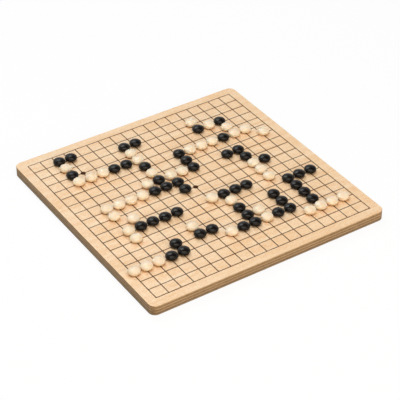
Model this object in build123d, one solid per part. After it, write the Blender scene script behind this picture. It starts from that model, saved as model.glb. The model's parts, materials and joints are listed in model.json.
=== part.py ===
from build123d import *
import os
from math import cos, pi, sin

# A weiqi set laid out on a table: a flat plywood board, its playing lines and star points, and the
# stones of a game in play. The frame's origin is the centre of the board's underside, +Z is up, and
# the columns run along +X from A, the rows along +Y from 1. All sizes are in millimetres.

# Stones
STONE_DIAMETER = 21.2
STONE_THICKNESS = 11.2
STONE_RIM = 4.2       # radius of the round rim between the two domes
SEAT_GAP = 0.05       # between a stone's lowest point and the board
DRIFT_X = 1.8         # the hand that set the stones down favours one side of the crossings
DRIFT_Y = -1.2
NUDGE = 0.5           # the furthest that a stone lies off that favoured place
NUDGE_SIZES = 7       # steps that the reach of a nudge goes through, from none to the furthest
COLUMN_STEP = 5       # how far the reach moves on through those steps from column to column
ROW_STEP = 3          # and from row to row

# Playing grid
LINES = 19            # lines each way
STONE_GAP = 1.8       # left between stones on neighbouring crossings
PITCH = STONE_DIAMETER + STONE_GAP
LINE_WIDTH = 1.5      # painted line
PAINT_DEPTH = 0.3     # depth of the paint in the face veneer
STAR_DIAMETER = 9.2   # star point
STAR_LINE = 4         # the corner star points stand on the fourth line from each edge

# Board
MARGIN = 18.0         # from the outer line's centre to the board's edge
CORNER_RADIUS = 12.0  # corner of the board, seen from above
EDGE_ROUND = 0.6      # eased edge along the top and the underside
VENEER = 2.5          # face and back veneers, after sanding
CORE_PLY = 2.6        # each ply between them
CORE_PLIES = ("cross_ply_lower", "long_ply_lower", "cross_ply_middle", "long_ply_upper", "cross_ply_upper")

# A chain is a run of stones of one colour that touch along the lines. They are lifted off together,
# so each chain is one piece of the set, named after its first stone. Crossings are given as on a
# board diagram: a column letter, with no I, and a row number.
COLUMNS = "ABCDEFGHJKLMNOPQRST"
BLACK_CHAINS = (
    "C18 D18",
    "H17 J17",
    "C16",
    "O16",
    "Q16",
    "F15 G15",
    "H14",
    "L14 L13 L12",
    "P14",
    "H12 H11 G11 J11 J10",
    "O12 P12 P11",
    "Q10",
    "D8 E8 F8 G8",
    "L8 M8 N8",
    "Q7 R7 S7 Q6 Q5 Q4",
    "L6 L5 L4 K4",
    "O6 O5 O4 N4",
    "E5 E4 D4",
    "G5 H5",
)
WHITE_CHAINS = (
    "C17",
    "O17",
    "H16 H15",
    "P16",
    "C15 D15 E15",
    "Q15 Q14 R14",
    "M14 N14 O14",
    "H13",
    "S13",
    "G12",
    "J12 K12",
    "C11 D11 E11 F11 C10",
    "P10 P9 P8",
    "D9",
    "C8 C7",
    "K8",
    "L7",
    "G6",
    "M5 M4",
    "A4 B4 C4",
    "J4",
    "P3 Q3 R3 S3",
)

GRID_SIDE = (LINES - 1) * PITCH
LINE_LENGTH = GRID_SIDE + LINE_WIDTH
BOARD_SIDE = GRID_SIDE + 2 * MARGIN
BOARD_THICKNESS = 2 * VENEER + len(CORE_PLIES) * CORE_PLY
GOLDEN_ANGLE = pi * (3 - 5 ** 0.5)


def crossing(name):
    """Column and row number of a crossing, both counted from 0."""
    return COLUMNS.index(name[0]), int(name[1:]) - 1


def crossing_place(column, row):
    """Centre of a crossing in the board's frame."""
    return column * PITCH - GRID_SIDE / 2, row * PITCH - GRID_SIDE / 2


def nudged_place(column, row):
    """Where a hand sets the stone of that crossing, a little off the crossing itself."""
    x, y = crossing_place(column, row)
    x, y = x + DRIFT_X, y + DRIFT_Y
    turn = (column + LINES * row) * GOLDEN_ANGLE
    size = (COLUMN_STEP * column + ROW_STEP * row) % NUDGE_SIZES
    reach = NUDGE * size / (NUDGE_SIZES - 1)
    return x + reach * cos(turn), y + reach * sin(turn)


def board_slab(bottom, thickness):
    """One sheet of the board's outline, from the height of its underside."""
    outline = RectangleRounded(BOARD_SIDE, BOARD_SIDE, CORNER_RADIUS)
    return Pos(0, 0, bottom) * extrude(outline, thickness)


def back_veneer():
    """The lowest sheet, with its lower edge eased."""
    slab = board_slab(0, VENEER)
    return fillet(slab.faces().sort_by(Axis.Z)[0].edges(), EDGE_ROUND)


def star_crossings():
    """The four corner star points and the centre one."""
    low, middle, high = STAR_LINE - 1, (LINES - 1) // 2, LINES - STAR_LINE
    return [(low, low), (high, low), (middle, middle), (low, high), (high, high)]


def star_points():
    """The painted discs, flush with the face."""
    disc = extrude(Circle(STAR_DIAMETER / 2), -PAINT_DEPTH)
    return [Pos(*crossing_place(*point), BOARD_THICKNESS) * disc for point in star_crossings()]


def sunk_block(x, y, size_x, size_y):
    """A block as deep as the paint, with its top flush with the face."""
    block = Box(size_x, size_y, PAINT_DEPTH, align=(Align.CENTER, Align.CENTER, Align.MAX))
    return Pos(x, y, BOARD_THICKNESS) * block


def grid_lines(stars):
    """All the lines as one flush lattice: a square plate less its cells and the star points."""
    cell = PITCH - LINE_WIDTH
    centres = [place.position for place in GridLocations(PITCH, PITCH, LINES - 1, LINES - 1)]
    cells = [sunk_block(centre.X, centre.Y, cell, cell) for centre in centres]
    return sunk_block(0, 0, LINE_LENGTH, LINE_LENGTH) - (cells + stars)


def face_veneer(stars):
    """The playing face, with its upper edge eased and a groove for each line and star point."""
    slab = board_slab(BOARD_THICKNESS - VENEER, VENEER)
    slab = fillet(slab.faces().sort_by(Axis.Z)[-1].edges(), EDGE_ROUND)
    diagonal = [crossing_place(line, line) for line in range(LINES)]
    rows = [sunk_block(0, y, LINE_LENGTH, LINE_WIDTH) for x, y in diagonal]
    columns = [sunk_block(x, 0, LINE_WIDTH, LINE_LENGTH) for x, y in diagonal]
    return slab - (rows + columns + stars)


def stone():
    """A stone with its lowest point at the origin: two domes that run smoothly into a round rim."""
    radius, half = STONE_DIAMETER / 2, STONE_THICKNESS / 2
    reach = radius - STONE_RIM
    dome = (radius ** 2 + half ** 2 - 2 * radius * STONE_RIM) / (2 * (half - STONE_RIM))
    share = STONE_RIM / (dome - STONE_RIM)
    join_x, join_z = reach * (1 + share), (dome - half) * share
    profile = Curve() + [
        Line((0, -half), (0, half)),
        RadiusArc((0, half), (join_x, join_z), dome),
        RadiusArc((join_x, join_z), (join_x, -join_z), STONE_RIM),
        RadiusArc((join_x, -join_z), (0, -half), dome),
    ]
    section = Plane.XZ * make_face(profile)
    return Pos(0, 0, half) * revolve(section, Axis.Z)


def chain(points, shape):
    """The stones of one chain, each set down by its crossing."""
    seat = BOARD_THICKNESS + SEAT_GAP
    return [Pos(*nudged_place(*crossing(point)), seat) * shape for point in points.split()]


def chain_name(colour, points):
    """black_stone_c16 for a lone stone, black_chain_c18 for more."""
    form = "chain" if " " in points else "stone"
    return f"{colour}_{form}_{points.split()[0].lower()}"


def build():
    """Every node's name and its solids."""
    stars = star_points()
    nodes = {"back_veneer": [back_veneer()]}
    for place, name in enumerate(CORE_PLIES):
        nodes[name] = [board_slab(VENEER + place * CORE_PLY, CORE_PLY)]
    nodes["face_veneer"] = [face_veneer(stars)]
    nodes["grid_lines"] = [grid_lines(stars)]
    nodes["star_points"] = stars
    one_stone = stone()
    for colour, chains in (("black", BLACK_CHAINS), ("white", WHITE_CHAINS)):
        for points in chains:
            nodes[chain_name(colour, points)] = chain(points, one_stone)
    return nodes


os.makedirs("parts", exist_ok=True)
for node, pieces in build().items():
    solids = [solid for piece in pieces for solid in piece.solids()]
    export_step(Compound(solids), f"parts/{node}.step")
    print(f"{node}: {len(solids)} solid(s)")
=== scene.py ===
"""A weiqi set: a square plywood board with a painted grid, and the lens-shaped stones of a game in play."""

import json
from math import cos, pi, radians, sin

import bpy
import numpy as np
from mathutils import Matrix, Vector


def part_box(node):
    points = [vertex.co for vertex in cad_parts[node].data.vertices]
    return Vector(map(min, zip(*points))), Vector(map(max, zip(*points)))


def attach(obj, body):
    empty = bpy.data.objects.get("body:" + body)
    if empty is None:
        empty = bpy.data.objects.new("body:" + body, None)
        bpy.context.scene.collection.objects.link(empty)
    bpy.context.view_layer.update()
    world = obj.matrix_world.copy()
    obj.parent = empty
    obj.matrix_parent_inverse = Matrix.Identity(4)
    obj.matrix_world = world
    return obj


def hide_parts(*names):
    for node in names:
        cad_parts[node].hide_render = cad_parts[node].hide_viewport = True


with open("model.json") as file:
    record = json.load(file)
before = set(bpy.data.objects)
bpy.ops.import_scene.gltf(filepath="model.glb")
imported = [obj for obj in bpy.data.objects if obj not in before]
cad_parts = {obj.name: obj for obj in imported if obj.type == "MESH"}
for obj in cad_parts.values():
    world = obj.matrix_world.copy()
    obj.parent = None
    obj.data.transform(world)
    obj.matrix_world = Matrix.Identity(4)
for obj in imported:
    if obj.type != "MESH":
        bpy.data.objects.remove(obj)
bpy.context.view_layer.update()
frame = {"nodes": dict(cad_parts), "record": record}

bl_info = {
    "name": "Weiqi set",
    "version": (1, 0, 0),
    "blender": (4, 5, 0),
    "location": "3D View > Sidebar > Weiqi",
    "description": "Finishes the plywood board and makes the stones of a weiqi set",
    "category": "Object",
}

# Places and sizes from the frame, in metres
MM = 0.001
BOARD_NODES = frame["record"]["behaviour"]["bodies"]["board"]
LONG_PLIES = ("back_veneer", "long_ply_lower", "long_ply_upper", "face_veneer")
CROSS_PLIES = ("cross_ply_lower", "cross_ply_middle", "cross_ply_upper")
BLACK_NODES = [name for name in frame["nodes"] if name.startswith("black_")]
WHITE_NODES = [name for name in frame["nodes"] if name.startswith("white_")]
COLUMNS = "ABCDEFGHJKLMNOPQRST"
LINES = 19
LINE_WIDTH = 1.5 * MM
BOARD_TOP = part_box("face_veneer")[1].z
GRID_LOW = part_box("grid_lines")[0].x + LINE_WIDTH / 2
PITCH = -2 * GRID_LOW / (LINES - 1)
STONE_LOW, STONE_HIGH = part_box("black_stone_c16")
DRIFT = np.array((1.8 * MM, -1.2 * MM))     # the hand that set the stones down favours one side
GOLDEN_ANGLE = pi * (3 - 5 ** 0.5)

# How finely the patterns of the wood repeat along and across its grain, in features a metre
HILLS = (3.2, 17, 17)
BANDS = (5, 60, 60)
STREAKS = (14, 330, 330)
SPOTS = (400, 750, 750)
FIBRES = (60, 2100, 2100)
SPECKS = (330, 2300, 2300)
RINGS = 9.0               # lines of the figure from the foot of the hills to their top
PLY_SHIFT = (0.71, 0.37, 0.13)  # in metres, between the pieces of the pattern that two plies show

# How finely those of a stone repeat along X, Y and Z, and those of the floor
CLOUDS = (170, 170, 260)
RUBS = (420, 420, 420)
PITS = (2600, 2600, 2600)
FLOOR_PATCHES = (9, 9, 9)

# Strength of each mark, as the share of its own colour
LONG_EDGE_GRAIN = 0.6
END_EDGE_GRAIN = 0.7
FLECK_STRENGTH = 0.35
GLUE_STRENGTH = 0.8
# Painted shade: how much darker and greyer the sawn edges grow towards the underside, and how high up the
# board it reaches
PAINTED_SHADE_STRENGTH = 0.45
PAINTED_SHADE_REACH = 0.6         # share of the board's thickness that it climbs
STAIN_STRENGTH = 0.8
PAINT_WEAR = 0.04
HAZE_STRENGTH = 0.35
CLOUD_STRENGTH = 0.6

# Roughness, sheen and the height of fine relief
LACQUER_ROUGHNESS = 0.4
LACQUER_SPREAD = 0.12     # from its smoothest to its roughest
SAWN_ROUGHNESS = 0.2      # more on a sawn edge
PAINT_ROUGHNESS = 0.5
PAINT_SPREAD = 0.2
FLOOR_ROUGHNESS = 0.9
PAINT_SHEEN = 0.06
BLACK_SHEEN = 0.21
BLACK_SHEEN_TINT = (1.0, 0.92, 0.84, 1)
FLOOR_SHEEN = 0.1
WOOD_RELIEF = 0.04 * MM
PAINT_RELIEF = 0.03 * MM
BLACK_RELIEF = 0.012 * MM
WHITE_RELIEF = 0.01 * MM
WHITE_DEPTH = 12 * MM     # how far light goes into a white stone
WHITE_DEPTH_SHARES = (1.0, 0.85, 0.7)  # of that for red, green and blue light

# Stage
FLOOR_SIZE = 24.0
FLOOR_GLOW = 0.86         # share of plain white in what the floor shows
FLOOR_DUST = 0.05
CEILING = 0.15            # brightness of the surroundings overhead, in what shines
LAMP_DISTANCE = 3.2
SENSOR_WIDTH = 36         # in millimetres
AIM = (-0.0141, -0.0347)  # the point of the board's face that the camera looks at


def srgb(red, green, blue):
    """A screen colour from 0 to 255 as the linear colour that shaders and properties hold."""
    shares = [part / 255 for part in (red, green, blue)]
    return tuple(part / 12.92 if part <= 0.04045 else ((part + 0.055) / 1.055) ** 2.4 for part in shares)


def colour_property(name, description, default):
    return bpy.props.FloatVectorProperty(
        name=name, description=description, subtype="COLOR", size=3, min=0, max=1, default=default)


class WeiqiBoardLook(bpy.types.PropertyGroup):
    """Finish of the plywood and its paint, with the painted shade low on its sawn edges."""

    veneer: colour_property("Veneer", "Face and back veneer between its streaks", srgb(240, 215, 182))
    streak: colour_property("Streaks", "Darker streaks of the veneers", srgb(228, 182, 132))
    long_edge: colour_property("Long edge", "Sawn edge along a ply's grain", srgb(240, 203, 157))
    end_edge: colour_property("End edge", "Sawn edge across a ply's grain", srgb(210, 172, 126))
    glue: colour_property("Glue", "Glue line between two plies", srgb(128, 96, 62))
    # Painted shade: a grey-brown that darkens the sawn edges towards the underside
    painted_shade: colour_property("Painted Shade", "Painted shade low on the sawn edges, darker towards the underside", srgb(112, 100, 86))
    paint: colour_property("Paint", "Lines and star points", srgb(56, 28, 6))
    bleed: bpy.props.FloatProperty(
        name="Bleed", description="How far the paint creeps into the fibres beside a line",
        default=0.3 * MM, min=0, max=1 * MM, unit="LENGTH")
    glue_width: bpy.props.FloatProperty(
        name="Glue width", description="How much of each ply's edge the glue line darkens",
        default=0.16 * MM, min=0, max=1 * MM, unit="LENGTH")


class WeiqiStoneLook(bpy.types.PropertyGroup):
    """Shape and finish of the stones."""

    rim: bpy.props.FloatProperty(
        name="Rim", description="Radius of the round rim between a stone's two domes",
        default=4.2 * MM, min=0.5 * MM, max=5 * MM, unit="LENGTH")
    black: colour_property("Black", "Body of the black stones", srgb(6, 4, 3))
    black_haze: colour_property("Haze", "Faint clouds in the black stones", srgb(24, 15, 9))
    white: colour_property("White", "Body of the white stones", srgb(240, 218, 191))
    white_cloud: colour_property("Cloud", "Faint clouds in the white stones", srgb(233, 205, 172))
    black_roughness: bpy.props.FloatProperty(
        name="Black roughness", description="Polish of the black stones", default=0.24, min=0, max=1)
    white_roughness: bpy.props.FloatProperty(
        name="White roughness", description="Polish of the white stones", default=0.24, min=0, max=1)


class WeiqiStageLook(bpy.types.PropertyGroup):
    """Camera, lamps and floor."""

    azimuth: bpy.props.FloatProperty(
        name="Azimuth", description="Where the camera looks, from +Y towards +X",
        default=radians(33.16), subtype="ANGLE")
    elevation: bpy.props.FloatProperty(
        name="Elevation", description="How far the camera looks down",
        default=radians(36.67), subtype="ANGLE")
    roll: bpy.props.FloatProperty(
        name="Roll", description="Tilt of the camera about its line of sight",
        default=radians(-0.13), subtype="ANGLE")
    distance: bpy.props.FloatProperty(
        name="Distance", description="From the camera to the board's face", default=2.545, unit="LENGTH")
    lens: bpy.props.FloatProperty(
        name="Lens", description="Focal length on a 36 mm sensor", default=138.2, unit="CAMERA")
    key: bpy.props.FloatProperty(
        name="Key light", description="Power of the softbox high behind the board", default=26,
        unit="POWER")
    top: bpy.props.FloatProperty(
        name="Top light", description="Power of the large softbox overhead", default=78, unit="POWER")
    back: bpy.props.FloatProperty(
        name="Back light", description="Power of the large softbox behind the board", default=8,
        unit="POWER")
    side: bpy.props.FloatProperty(
        name="Side light", description="Power of the softbox low on the left", default=8, unit="POWER")
    front: bpy.props.FloatProperty(
        name="Front light", description="Power of the wide softbox low in front", default=24, unit="POWER")
    right: bpy.props.FloatProperty(
        name="Right light", description="Power of the softbox in front and to the right", default=28,
        unit="POWER")
    warm: colour_property("Warm", "Colour of the two lights in front", (1.0, 0.84, 0.66))
    cool: colour_property("Cool", "Colour of the key light and the side light", (0.82, 0.93, 1.0))
    fill: bpy.props.FloatProperty(
        name="Fill", description="Strength of the light tent straight overhead", default=0.1, min=0)
    floor: colour_property("Floor", "Colour of the floor as it lights the board", srgb(44, 44, 46))


LOOKS = {"weiqi_board": WeiqiBoardLook, "weiqi_stones": WeiqiStoneLook, "weiqi_stage": WeiqiStageLook}


def deselect_all():
    for item in bpy.context.selected_objects:
        item.select_set(False)


def add_node(tree, kind, inputs=None, **settings):
    """A shader node with its settings, and its inputs given by name or number as a value or a socket."""
    made = tree.nodes.new("ShaderNode" + kind)
    for name, value in settings.items():
        setattr(made, name, value)
    for name, value in (inputs or {}).items():
        if isinstance(value, bpy.types.NodeSocket):
            tree.links.new(value, made.inputs[name])
        else:
            made.inputs[name].default_value = value
    return made


def math(tree, operation, first, second=0.0, third=0.0, clamp=False):
    made = add_node(tree, "Math", {0: first, 1: second, 2: third}, operation=operation, use_clamp=clamp)
    return made.outputs[0]


def mix_colour(tree, factor, first, second):
    made = add_node(tree, "Mix", {0: factor}, data_type="RGBA")
    for place, value in ((6, first), (7, second)):
        if isinstance(value, bpy.types.NodeSocket):
            tree.links.new(value, made.inputs[place])
        else:
            made.inputs[place].default_value = (*value[:3], 1)
    return made.outputs[2]


def tint(tree, mask, strength, under, over):
    """One colour over another, where the mask is, at that strength."""
    return mix_colour(tree, math(tree, "MULTIPLY", mask, strength), under, over)


def ramp(tree, value, low, high, to_low=0.0, to_high=1.0):
    """A value taken smoothly from one range to another."""
    inputs = {"Value": value, "From Min": low, "From Max": high, "To Min": to_low, "To Max": to_high}
    return add_node(tree, "MapRange", inputs, interpolation_type="SMOOTHSTEP").outputs[0]


def stretched_noise(tree, vector, stretch, detail=2.0, roughness=0.5):
    """Noise with that many features a metre along each axis."""
    scaled = add_node(tree, "VectorMath", {0: vector, 1: stretch}, operation="MULTIPLY").outputs[0]
    inputs = {"Vector": scaled, "Scale": 1.0, "Detail": detail, "Roughness": roughness}
    return add_node(tree, "TexNoise", inputs).outputs[0]


def new_group(name, inputs, outputs):
    """A shader node group with named sockets, and its input and output nodes."""
    tree = bpy.data.node_groups.new(name, "ShaderNodeTree")
    for title, kind in inputs:
        tree.interface.new_socket(title, in_out="INPUT", socket_type="NodeSocket" + kind)
    for title, kind in outputs:
        tree.interface.new_socket(title, in_out="OUTPUT", socket_type="NodeSocket" + kind)
    return tree, tree.nodes.new("NodeGroupInput").outputs, tree.nodes.new("NodeGroupOutput").inputs


def use_group(tree, group, **inputs):
    """That group placed in a material, with its own values."""
    made = tree.nodes.new("ShaderNodeGroup")
    made.node_tree = group
    for name, value in inputs.items():
        socket = made.inputs[name.replace("_", " ")]
        if isinstance(value, bpy.types.NodeSocket):
            tree.links.new(value, socket)
        else:
            socket.default_value = value
    return made.outputs


def wood_grain_group():
    """Figure, streaks, mottle, fibres and flecks of a sliced veneer whose grain runs along X."""
    tree, given, result = new_group(
        "wood_grain",
        [("Vector", "Vector"), ("Figure", "Float"), ("Streaks", "Float"), ("Mottle", "Float"),
         ("Flecks", "Float")],
        [("Tone", "Float"), ("Fleck", "Float"), ("Height", "Float")],
    )
    vector = given["Vector"]
    hills = stretched_noise(tree, vector, HILLS, detail=1.5)
    contours = math(tree, "PINGPONG", math(tree, "MULTIPLY", hills, RINGS), 0.5)
    figure = math(tree, "MULTIPLY", math(tree, "SUBTRACT", contours, 0.25), given["Figure"])
    bands = stretched_noise(tree, vector, BANDS, detail=3)
    streaks = stretched_noise(tree, vector, STREAKS, detail=3)
    both = math(tree, "ADD", math(tree, "SUBTRACT", bands, 0.5), math(tree, "SUBTRACT", streaks, 0.5))
    lines = math(tree, "MULTIPLY", both, given["Streaks"])
    spots = stretched_noise(tree, vector, SPOTS, detail=1)
    mottle = math(tree, "MULTIPLY", math(tree, "SUBTRACT", spots, 0.5), given["Mottle"])
    fibres = stretched_noise(tree, vector, FIBRES, detail=2)
    specks = stretched_noise(tree, vector, SPECKS, detail=0)
    fleck = math(tree, "MULTIPLY", ramp(tree, specks, 0.64, 0.72), given["Flecks"])
    coarse = math(tree, "ADD", math(tree, "ADD", figure, lines), mottle)
    tone = math(tree, "ADD", coarse, math(tree, "MULTIPLY", fibres, 0.3))
    tree.links.new(math(tree, "ADD", tone, 0.35, clamp=True), result["Tone"])
    tree.links.new(fleck, result["Fleck"])
    tree.links.new(math(tree, "SUBTRACT", fibres, fleck), result["Height"])
    return tree


def sawn_edge_group():
    """How far a face is a sawn edge and across the grain, its glue lines, and the painted shade that
    darkens it towards the underside.
    """
    tree, given, result = new_group(
        "sawn_edge",
        [("Vector", "Vector"), ("Normal", "Vector"), ("Grain", "Vector"), ("Bottom", "Float"),
         ("Top", "Float"), ("Glue Width", "Float")],
        [("Edge", "Float"), ("End", "Float"), ("Glue", "Float"), ("Painted Shade", "Float")],
    )
    upright = add_node(tree, "SeparateXYZ", {0: given["Normal"]}).outputs[2]
    edge = ramp(tree, math(tree, "ABSOLUTE", upright), 0.99, 0.7)
    along = add_node(tree, "VectorMath", {0: given["Normal"], 1: given["Grain"]}, operation="DOT_PRODUCT")
    end = ramp(tree, math(tree, "ABSOLUTE", along.outputs["Value"]), 0.25, 0.85)
    height = add_node(tree, "SeparateXYZ", {0: given["Vector"]}).outputs[2]
    below = math(tree, "SUBTRACT", height, given["Bottom"])
    above = math(tree, "SUBTRACT", given["Top"], height)
    away = math(tree, "DIVIDE", math(tree, "MINIMUM", below, above), given["Glue Width"])
    tree.links.new(edge, result["Edge"])
    tree.links.new(end, result["End"])
    tree.links.new(math(tree, "MULTIPLY", ramp(tree, away, 1.0, 0.4), edge), result["Glue"])
    # Painted shade: the sawn edges darken smoothly from part way up the board down to its underside
    low = ramp(tree, height, BOARD_TOP * PAINTED_SHADE_REACH, 0.0)
    tree.links.new(math(tree, "MULTIPLY", low, edge), result["Painted Shade"])
    return tree


def line_distance_group():
    """Distance from the centre of the nearest line, both ways, within the grid."""
    tree, given, result = new_group(
        "line_distance",
        [("Vector", "Vector"), ("Pitch", "Float"), ("Reach", "Float")],
        [("Distance", "Float")],
    )
    parts = add_node(tree, "SeparateXYZ", {0: given["Vector"]}).outputs
    nearest, outside = [], []
    for part in (parts[0], parts[1]):
        nearest.append(math(tree, "PINGPONG", part, math(tree, "MULTIPLY", given["Pitch"], 0.5)))
        outside.append(math(tree, "SUBTRACT", math(tree, "ABSOLUTE", part), given["Reach"]))
    beyond = math(tree, "MAXIMUM", math(tree, "MAXIMUM", outside[0], outside[1]), 0.0)
    near = math(tree, "MINIMUM", nearest[0], nearest[1])
    tree.links.new(math(tree, "MAXIMUM", near, beyond), result["Distance"])
    return tree


def polish_group():
    """Clouds in a stone's body, with the faint pits and rubbed patches of its surface."""
    tree, given, result = new_group(
        "polish",
        [("Vector", "Vector"), ("Roughness", "Float"), ("Wear", "Float")],
        [("Cloud", "Float"), ("Roughness", "Float"), ("Height", "Float")],
    )
    vector = given["Vector"]
    cloud = stretched_noise(tree, vector, CLOUDS, detail=3, roughness=0.55)
    rubbed = stretched_noise(tree, vector, RUBS, detail=4, roughness=0.6)
    pits = stretched_noise(tree, vector, PITS, detail=1)
    wear = math(tree, "MULTIPLY", math(tree, "SUBTRACT", rubbed, 0.45), given["Wear"])
    tree.links.new(ramp(tree, cloud, 0.35, 0.7), result["Cloud"])
    tree.links.new(math(tree, "ADD", given["Roughness"], wear, clamp=True), result["Roughness"])
    tree.links.new(math(tree, "ADD", pits, math(tree, "MULTIPLY", rubbed, 2.0)), result["Height"])
    return tree


def new_material(name):
    """An empty node material, with its shader and its object coordinates."""
    material = bpy.data.materials.new(name)
    material.use_nodes = True
    tree = material.node_tree
    shader = tree.nodes["Principled BSDF"]
    place = tree.nodes.new("ShaderNodeTexCoord").outputs["Object"]
    return material, tree, shader, place


def add_bump(tree, shader, height, distance, strength):
    inputs = {"Height": height, "Distance": distance, "Strength": strength}
    tree.links.new(add_node(tree, "Bump", inputs).outputs[0], shader.inputs["Normal"])


def wood_material(name, groups, look):
    """Lacquered wood for one ply: its own piece of grain, sawn edges and glue lines."""
    material, tree, shader, place = new_material("wood_" + name)
    low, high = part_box(name)
    crosswise = name in CROSS_PLIES
    order = BOARD_NODES.index(name)
    turn = (0, 0, pi / 2) if crosswise else (0, 0, 0)
    own_piece = tuple(shift * order for shift in PLY_SHIFT)
    shifted = add_node(tree, "Mapping", {"Vector": place, "Location": own_piece, "Rotation": turn})
    grain = use_group(tree, groups["wood_grain"], Vector=shifted.outputs[0], Figure=0.5, Streaks=0.9,
                      Mottle=1.8, Flecks=1.0)
    normal = tree.nodes.new("ShaderNodeNewGeometry").outputs["Normal"]
    sawn = use_group(tree, groups["sawn_edge"], Vector=place, Normal=normal, Bottom=low.z, Top=high.z,
                     Grain=(0, 1, 0) if crosswise else (1, 0, 0), Glue_Width=look.glue_width)
    face = mix_colour(tree, grain["Tone"], look.veneer, look.streak)
    long_edge = tint(tree, grain["Tone"], LONG_EDGE_GRAIN, look.long_edge, look.end_edge)
    end_edge = tint(tree, grain["Tone"], END_EDGE_GRAIN, look.end_edge, look.glue)
    edge = mix_colour(tree, sawn["End"], long_edge, end_edge)
    colour = mix_colour(tree, sawn["Edge"], face, edge)
    colour = tint(tree, grain["Fleck"], FLECK_STRENGTH, colour, look.end_edge)
    colour = tint(tree, sawn["Glue"], GLUE_STRENGTH, colour, look.glue)
    # Painted shade: the sawn edges grow darker and greyer towards the underside
    colour = tint(tree, sawn["Painted Shade"], PAINTED_SHADE_STRENGTH, colour, look.painted_shade)
    if name == "face_veneer":
        bled = use_group(tree, groups["line_distance"], Vector=place, Pitch=PITCH, Reach=-GRID_LOW)
        creep = math(tree, "MULTIPLY", grain["Tone"], look.bleed * 2)
        stain = ramp(tree, bled["Distance"], math(tree, "ADD", creep, LINE_WIDTH / 2), LINE_WIDTH / 2)
        flat = math(tree, "SUBTRACT", 1.0, sawn["Edge"])
        colour = tint(tree, math(tree, "MULTIPLY", stain, flat), STAIN_STRENGTH, colour, look.paint)
    tree.links.new(colour, shader.inputs["Base Color"])
    worn = math(tree, "ADD", math(tree, "MULTIPLY", grain["Tone"], LACQUER_SPREAD), LACQUER_ROUGHNESS)
    rough = math(tree, "ADD", worn, math(tree, "MULTIPLY", sawn["Edge"], SAWN_ROUGHNESS))
    tree.links.new(rough, shader.inputs["Roughness"])
    add_bump(tree, shader, grain["Height"], WOOD_RELIEF, strength=0.5)
    return material


def paint_material(groups, look):
    """Dark line paint with the fibres of the veneer showing through."""
    material, tree, shader, place = new_material("line_paint")
    grain = use_group(tree, groups["wood_grain"], Vector=place, Figure=0.3, Streaks=1.0, Mottle=0.5,
                      Flecks=0.5)
    worn = tint(tree, grain["Tone"], PAINT_WEAR, look.paint, look.streak)
    tree.links.new(worn, shader.inputs["Base Color"])
    rough = math(tree, "ADD", math(tree, "MULTIPLY", grain["Tone"], PAINT_SPREAD), PAINT_ROUGHNESS)
    tree.links.new(rough, shader.inputs["Roughness"])
    shader.inputs["Specular IOR Level"].default_value = PAINT_SHEEN
    add_bump(tree, shader, grain["Height"], PAINT_RELIEF, strength=0.5)
    return material


def black_material(groups, look):
    """Deep black body under a soft polish."""
    material, tree, shader, place = new_material("black_stone")
    polish = use_group(tree, groups["polish"], Vector=place, Roughness=look.black_roughness, Wear=0.25)
    haze = tint(tree, polish["Cloud"], HAZE_STRENGTH, look.black, look.black_haze)
    tree.links.new(haze, shader.inputs["Base Color"])
    tree.links.new(polish["Roughness"], shader.inputs["Roughness"])
    shader.inputs["Specular IOR Level"].default_value = BLACK_SHEEN
    shader.inputs["Specular Tint"].default_value = BLACK_SHEEN_TINT
    add_bump(tree, shader, polish["Height"], BLACK_RELIEF, strength=0.4)
    return material


def white_material(groups, look):
    """Milky, slightly clear body with faint clouds."""
    material, tree, shader, place = new_material("white_stone")
    polish = use_group(tree, groups["polish"], Vector=place, Roughness=look.white_roughness, Wear=0.2)
    body = tint(tree, polish["Cloud"], CLOUD_STRENGTH, look.white, look.white_cloud)
    tree.links.new(body, shader.inputs["Base Color"])
    tree.links.new(polish["Roughness"], shader.inputs["Roughness"])
    shader.inputs["Subsurface Weight"].default_value = 1.0
    shader.inputs["Subsurface Radius"].default_value = WHITE_DEPTH_SHARES
    shader.inputs["Subsurface Scale"].default_value = WHITE_DEPTH
    add_bump(tree, shader, polish["Height"], WHITE_RELIEF, strength=0.3)
    return material


def finish_node(name, material):
    """Gives a CAD node that material in every slot."""
    node = frame["nodes"][name]
    if not node.material_slots:
        node.data.materials.append(material)
    for slot in node.material_slots:
        slot.material = material


def shared_groups():
    """The node groups, made once and used by every material."""
    makers = {
        "wood_grain": wood_grain_group,
        "sawn_edge": sawn_edge_group,
        "line_distance": line_distance_group,
        "polish": polish_group,
    }
    for name, maker in makers.items():
        if name not in bpy.data.node_groups:
            maker()
    return bpy.data.node_groups


def stone_profile(radius, half, rim, steps=12, rim_steps=8):
    """Points down one side of a stone, from its top to its foot: dome, round rim, dome."""
    reach = radius - rim
    dome = (radius ** 2 + half ** 2 - 2 * radius * rim) / (2 * (half - rim))
    join = Vector((reach, dome - half)) / (dome - rim)
    lean = Vector((0, 1)).angle(join)
    turns = [lean * k / steps for k in range(steps)]
    upper = [(dome * sin(turn), dome * cos(turn) - (dome - half)) for turn in turns]
    span = pi - 2 * lean
    edge = [lean + span * k / rim_steps for k in range(rim_steps + 1)]
    middle = [(reach + rim * sin(turn), rim * cos(turn)) for turn in edge]
    return upper + middle + [(x, -z) for x, z in reversed(upper)]


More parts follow.
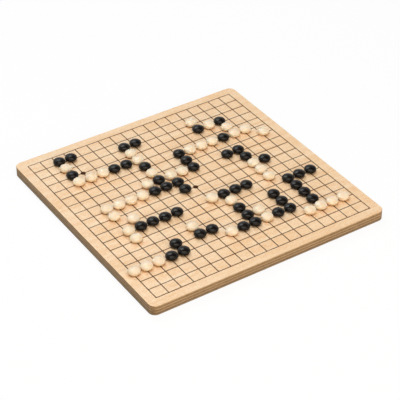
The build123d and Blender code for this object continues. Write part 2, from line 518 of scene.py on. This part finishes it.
def model_stone(name, look, segments=64):
    """One stone about the origin, drawn as a profile and spun about Z."""
    deselect_all()
    size = STONE_HIGH - STONE_LOW
    profile = stone_profile(size.x / 2, size.z / 2, look.rim)
    bpy.ops.mesh.primitive_plane_add(size=MM, location=(0, 0, profile[0][1]))
    stone = bpy.context.object
    stone.name = name
    bpy.ops.object.mode_set(mode="EDIT")
    bpy.ops.mesh.merge(type="CENTER")
    for (x, z), (next_x, next_z) in zip(profile, profile[1:]):
        step = (next_x - x, 0, next_z - z)
        bpy.ops.mesh.extrude_region_move(TRANSFORM_OT_translate={"value": step})
    bpy.ops.mesh.select_all(action="SELECT")
    bpy.ops.mesh.spin(steps=segments, angle=2 * pi, center=(0, 0, 0), axis=(0, 0, 1))
    bpy.ops.mesh.select_all(action="SELECT")
    bpy.ops.mesh.remove_doubles(threshold=0.01 * MM)
    bpy.ops.mesh.normals_make_consistent(inside=False)
    bpy.ops.object.mode_set(mode="OBJECT")
    bpy.ops.object.transform_apply(location=True, rotation=True, scale=True)
    bpy.ops.object.shade_smooth()
    return stone


def stone_places(name):
    """Each stone of a CAD node: its crossing's name and its centre, from the node's own vertices."""
    mesh = frame["nodes"][name].data
    corners = np.empty(len(mesh.vertices) * 3)
    mesh.vertices.foreach_get("co", corners)
    corners = corners.reshape(-1, 3)
    crossings = np.rint((corners[:, :2] - DRIFT - GRID_LOW) / PITCH).astype(int)
    for column, row in sorted(set(map(tuple, crossings.tolist()))):
        own = corners[(crossings == (column, row)).all(axis=1)]
        yield f"{COLUMNS[column]}{row + 1}".lower(), Vector((own.min(axis=0) + own.max(axis=0)) / 2)


def lay_stones(colour, nodes, model, material):
    """A stone on every place of those nodes, each with its own mesh and turned its own way."""
    for node in nodes:
        for crossing, centre in stone_places(node):
            stone = bpy.data.objects.new(f"{colour}_{crossing}", model.data.copy())
            bpy.context.collection.objects.link(stone)
            turn = Matrix.Rotation(GOLDEN_ANGLE * (ord(crossing[0]) + int(crossing[1:]) * LINES), 4, "Z")
            stone.data.transform(Matrix.Translation(centre) @ turn)
            stone.data.materials.append(material)
            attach(stone, node)
            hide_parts(node)
    bpy.data.objects.remove(model)


class WEIQI_OT_board(bpy.types.Operator):
    """Finish the plies of the board as lacquered plywood"""

    bl_idname = "weiqi.board"
    bl_label = "Finish the board"

    def execute(self, context):
        groups = shared_groups()
        for name in LONG_PLIES + CROSS_PLIES:
            finish_node(name, wood_material(name, groups, context.scene.weiqi_board))
        return {"FINISHED"}


class WEIQI_OT_grid(bpy.types.Operator):
    """Paint the lines and the star points"""

    bl_idname = "weiqi.grid"
    bl_label = "Paint the grid"

    def execute(self, context):
        paint = paint_material(shared_groups(), context.scene.weiqi_board)
        for name in ("grid_lines", "star_points"):
            finish_node(name, paint)
        return {"FINISHED"}


class WEIQI_OT_black_stones(bpy.types.Operator):
    """Model the black stones and lay them out"""

    bl_idname = "weiqi.black_stones"
    bl_label = "Lay the black stones"

    def execute(self, context):
        look = context.scene.weiqi_stones
        material = black_material(shared_groups(), look)
        lay_stones("black", BLACK_NODES, model_stone("black_model", look), material)
        return {"FINISHED"}


class WEIQI_OT_white_stones(bpy.types.Operator):
    """Model the white stones and lay them out"""

    bl_idname = "weiqi.white_stones"
    bl_label = "Lay the white stones"

    def execute(self, context):
        look = context.scene.weiqi_stones
        material = white_material(shared_groups(), look)
        lay_stones("white", WHITE_NODES, model_stone("white_model", look), material)
        return {"FINISHED"}


def seen_directly(tree, mirrored=1.0):
    """1 for camera rays, the mirrored share for rays off or through what shines, 0 for light on things."""
    path = tree.nodes.new("ShaderNodeLightPath").outputs
    shine = math(tree, "MAXIMUM", path["Is Glossy Ray"], path["Is Transmission Ray"])
    return math(tree, "MAXIMUM", path["Is Camera Ray"], math(tree, "MULTIPLY", shine, mirrored))


def floor_material(look):
    """A pale floor that looks white but keeps a soft shadow."""
    material, tree, shader, place = new_material("pale_floor")
    dust = stretched_noise(tree, place, FLOOR_PATCHES, detail=3)
    tone = tint(tree, dust, FLOOR_DUST, look.floor, srgb(150, 150, 150))
    seen = seen_directly(tree)
    tree.links.new(mix_colour(tree, seen, tone, (0.9, 0.9, 0.9)), shader.inputs["Base Color"])
    shader.inputs["Roughness"].default_value = FLOOR_ROUGHNESS
    shader.inputs["Specular IOR Level"].default_value = FLOOR_SHEEN
    glow = add_node(tree, "Emission", {"Color": (1, 1, 1, 1), "Strength": 1.0}).outputs[0]
    share = math(tree, "MULTIPLY", seen, FLOOR_GLOW)
    mixed = add_node(tree, "MixShader", {0: share, 1: shader.outputs[0], 2: glow}).outputs[0]
    tree.links.new(mixed, tree.nodes["Material Output"].inputs["Surface"])
    return material


def add_floor(look):
    bpy.ops.mesh.primitive_plane_add(size=FLOOR_SIZE, location=(0, 0, 0))
    floor = bpy.context.object
    floor.name = "floor"
    floor.data.materials.append(floor_material(look))


def softbox(name, direction, size, power, colour=(1, 1, 1)):
    """A softbox that faces the board's centre from that direction."""
    direction = Vector(direction).normalized()
    bpy.ops.object.light_add(type="AREA", location=direction * LAMP_DISTANCE)
    lamp = bpy.context.object
    lamp.name = name
    lamp.data.shape = "RECTANGLE"
    lamp.data.size, lamp.data.size_y = size
    lamp.data.energy = power
    lamp.data.color = colour
    lamp.rotation_euler = direction.to_track_quat("Z", "Y").to_euler()


def studio_world(look):
    """White surroundings that are dimmer overhead in what shines, and a faint dome of light."""
    world = bpy.data.worlds.new("studio")
    world.use_nodes = True
    tree = world.node_tree
    direction = tree.nodes.new("ShaderNodeTexCoord").outputs["Generated"]
    height = math(tree, "MAXIMUM", add_node(tree, "SeparateXYZ", {0: direction}).outputs[2], 0.0)
    dome = math(tree, "MULTIPLY", math(tree, "POWER", height, 2.0), look.fill)
    ceiling = ramp(tree, height, 0.25, 0.8, 1.0, CEILING)
    strength = math(tree, "MAXIMUM", seen_directly(tree, ceiling), dome)
    background = tree.nodes["Background"]
    background.inputs["Color"].default_value = (1, 1, 1, 1)
    tree.links.new(strength, background.inputs["Strength"])
    return world


def add_camera(look):
    """The camera, at its distance from the point that it looks at."""
    flat = cos(look.elevation)
    sight = Vector((sin(look.azimuth) * flat, cos(look.azimuth) * flat, -sin(look.elevation)))
    bpy.ops.object.camera_add(location=Vector((*AIM, BOARD_TOP)) - sight * look.distance)
    camera = bpy.context.object
    facing = sight.to_track_quat("-Z", "Y").to_matrix() @ Matrix.Rotation(look.roll, 3, "Z")
    camera.rotation_euler = facing.to_euler()
    camera.data.lens = look.lens
    camera.data.sensor_width = SENSOR_WIDTH
    return camera


class WEIQI_OT_stage(bpy.types.Operator):
    """Set the floor, the lamps, the world and the camera"""

    bl_idname = "weiqi.stage"
    bl_label = "Set the stage"

    def execute(self, context):
        look = context.scene.weiqi_stage
        deselect_all()
        add_floor(look)
        softbox("key_light", (0.14, 0.61, 0.78), (1.2, 0.85), look.key, look.cool)
        softbox("top_light", (-0.12, -0.2, 0.97), (2.8, 2.0), look.top)
        softbox("back_light", (-0.16, 0.75, 0.64), (2.0, 1.6), look.back)
        softbox("side_light", (-0.71, 0.56, 0.42), (2.2, 1.4), look.side, look.cool)
        softbox("front_light", (-0.51, -0.78, 0.37), (3.0, 1.8), look.front, look.warm)
        softbox("right_light", (0.19, -0.89, 0.42), (2.0, 1.6), look.right, look.warm)
        context.scene.world = studio_world(look)
        context.scene.view_settings.view_transform = "Standard"
        context.scene.camera = add_camera(look)
        return {"FINISHED"}


OPERATORS = (WEIQI_OT_stage, WEIQI_OT_board, WEIQI_OT_grid, WEIQI_OT_black_stones, WEIQI_OT_white_stones)


class WEIQI_PT_panel(bpy.types.Panel):
    """The steps of the weiqi set, in the sidebar"""

    bl_idname = "WEIQI_PT_panel"
    bl_label = "Weiqi set"
    bl_space_type = "VIEW_3D"
    bl_region_type = "UI"
    bl_category = "Weiqi"

    def draw(self, context):
        for operator in OPERATORS:
            self.layout.operator(operator.bl_idname)
        for name, group in LOOKS.items():
            box = self.layout.box()
            for field in group.__annotations__:
                box.prop(getattr(context.scene, name), field)


CLASSES = (*LOOKS.values(), *OPERATORS, WEIQI_PT_panel)


def register():
    for item in CLASSES:
        bpy.utils.register_class(item)
    for name, group in LOOKS.items():
        setattr(bpy.types.Scene, name, bpy.props.PointerProperty(type=group))


def unregister():
    for name in LOOKS:
        delattr(bpy.types.Scene, name)
    for item in reversed(CLASSES):
        bpy.utils.unregister_class(item)


def main():
    register()
    bpy.ops.weiqi.stage()
    bpy.ops.weiqi.board()
    bpy.ops.weiqi.grid()
    bpy.ops.weiqi.black_stones()
    bpy.ops.weiqi.white_stones()


if __name__ == "__main__":
    main()
